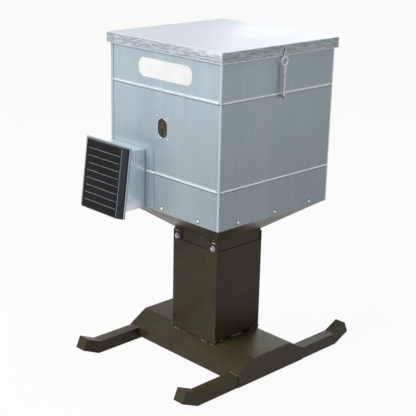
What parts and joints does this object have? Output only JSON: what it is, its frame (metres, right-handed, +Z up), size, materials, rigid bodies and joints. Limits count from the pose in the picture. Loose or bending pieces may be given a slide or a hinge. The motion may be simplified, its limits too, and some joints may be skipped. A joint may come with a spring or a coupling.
{
  "type": "spin cast feeder",
  "caption": "Stand-and-fill spin cast feeder: square galvanised hopper with pan lid and side control box, funnel and square column with a motor-driven spinner, on a base with upturned skids",
  "frame": {"origin": "on the ground, below the middle of the whole feeder's box in X and Y; the column's axis is 17.5 mm towards +X of it", "axes": "+Z up; -Y is the front with the sight window and control box; +X is the side with the latch; the lid's hinge is on the -X side"},
  "size_m": [0.689, 0.9688, 1.32],
  "materials": {
    "stand_paint": "dark olive-brown semi-gloss powder coat on welded steel",
    "galvanised_sheet": "bright galvanised sheet with fine vertical streaks and spangle",
    "zinc_hardware": "zinc plated screws, hinges, ring and motor case",
    "spring_wire": "drawn spring wire",
    "black_plastic": "black moulded plastic and anodised rails",
    "solar_glass": "dark solar cells under clear glass, thin grey bus lines",
    "clear_pane": "clear plastic pane with the feed showing brown through it",
    "brass_terminal": "battery tabs",
    "button_plastic": "grey push buttons"
  },
  "bodies": {
    "stand": {"base_channel": "stand_paint", "base_end_plate_left": "stand_paint", "base_end_plate_right": "stand_paint", "battery": "black_plastic", "battery_strap": "zinc_hardware", "battery_terminal_negative": "brass_terminal", "battery_terminal_positive": "brass_terminal", "column": "stand_paint", "column_bolt_front_left": "zinc_hardware", "column_bolt_front_right": "zinc_hardware", "column_bolt_rear_left": "zinc_hardware", "column_bolt_rear_right": "zinc_hardware", "control_box": "galvanised_sheet", "door_hinge_box_leaf": "zinc_hardware", "door_hinge_pin": "zinc_hardware", "door_magnet": "black_plastic", "funnel": "stand_paint", "hopper_left_panel": "galvanised_sheet", "hopper_wrap": "galvanised_sheet", "latch_anchor_bracket": "zinc_hardware", "latch_anchor_pin": "zinc_hardware", "lid_hinge_pin": "zinc_hardware", "lid_hinge_wall_leaf": "zinc_hardware", "motor": "zinc_hardware", "motor_bracket": "stand_paint", "neck_collar": "stand_paint", "outlet_chute": "stand_paint", "sight_window_pane": "clear_pane", "skid_cap_left_front": "stand_paint", "skid_cap_left_rear": "stand_paint", "skid_cap_right_front": "stand_paint", "skid_cap_right_rear": "stand_paint", "skid_left": "stand_paint", "skid_right": "stand_paint", "spinner_housing": "galvanised_sheet", "timer_case": "black_plastic", "timer_screen": "clear_pane", "window_screw_lower_left": "zinc_hardware", "window_screw_lower_right": "zinc_hardware", "window_screw_upper_left": "zinc_hardware", "window_screw_upper_right": "zinc_hardware"},
    "lid": {"lid": "galvanised_sheet", "lid_hinge_lid_leaf": "zinc_hardware"},
    "latch": {"latch_spring_eye": "zinc_hardware", "latch_spring": "spring_wire"},
    "latch_pull": {"latch_ring": "zinc_hardware", "latch_hook": "zinc_hardware"},
    "control_door": {"control_box_door": "galvanised_sheet", "solar_panel_frame": "black_plastic", "solar_panel_glass": "solar_glass", "door_hinge_door_leaf": "zinc_hardware"},
    "spinner": {"motor_shaft": "zinc_hardware", "spinner_plate": "galvanised_sheet"},
    "button_1": {"timer_button_1": "button_plastic"},
    "button_2": {"timer_button_2": "button_plastic"},
    "button_3": {"timer_button_3": "button_plastic"},
    "button_4": {"timer_button_4": "button_plastic"}
  },
  "joints": [
    {"name": "lid_hinge", "type": "hinge", "parent": "stand", "child": "lid", "pos_m": [-0.3022, 0, 1.2745], "axis": [0, -1, 0], "range_deg": [0, 200]},
    {"name": "latch_swing", "type": "hinge", "parent": "stand", "child": "latch", "pos_m": [0.3368, 0.005, 1.124], "axis": [0, 1, 0], "range_deg": [0, 170]},
    {"name": "latch_pull", "type": "slide", "parent": "latch", "child": "latch_pull", "axis": [0, 0, 1], "range_m": [0, 0.01], "stiffness_N_per_m": 1200, "deforming": ["latch_spring"]},
    {"name": "control_door_hinge", "type": "hinge", "parent": "stand", "child": "control_door", "pos_m": [-0.2911, -0.39353, 0.77969], "axis": [0, -0.1281, -0.9918], "range_deg": [0, 90]},
    {"name": "spinner_spin", "type": "hinge", "parent": "stand", "child": "spinner", "pos_m": [0.0175, 0, 0.412], "axis": [0, 0, 1], "continuous": true},
    {"name": "button_1_press", "type": "slide", "parent": "stand", "child": "button_1", "axis": [0, 1, 0], "range_m": [0, 0.0012], "stiffness_N_per_m": 400},
    {"name": "button_2_press", "type": "slide", "parent": "stand", "child": "button_2", "axis": [0, 1, 0], "range_m": [0, 0.0012], "stiffness_N_per_m": 400},
    {"name": "button_3_press", "type": "slide", "parent": "stand", "child": "button_3", "axis": [0, 1, 0], "range_m": [0, 0.0012], "stiffness_N_per_m": 400},
    {"name": "button_4_press", "type": "slide", "parent": "stand", "child": "button_4", "axis": [0, 1, 0], "range_m": [0, 0.0012], "stiffness_N_per_m": 400}
  ]
}
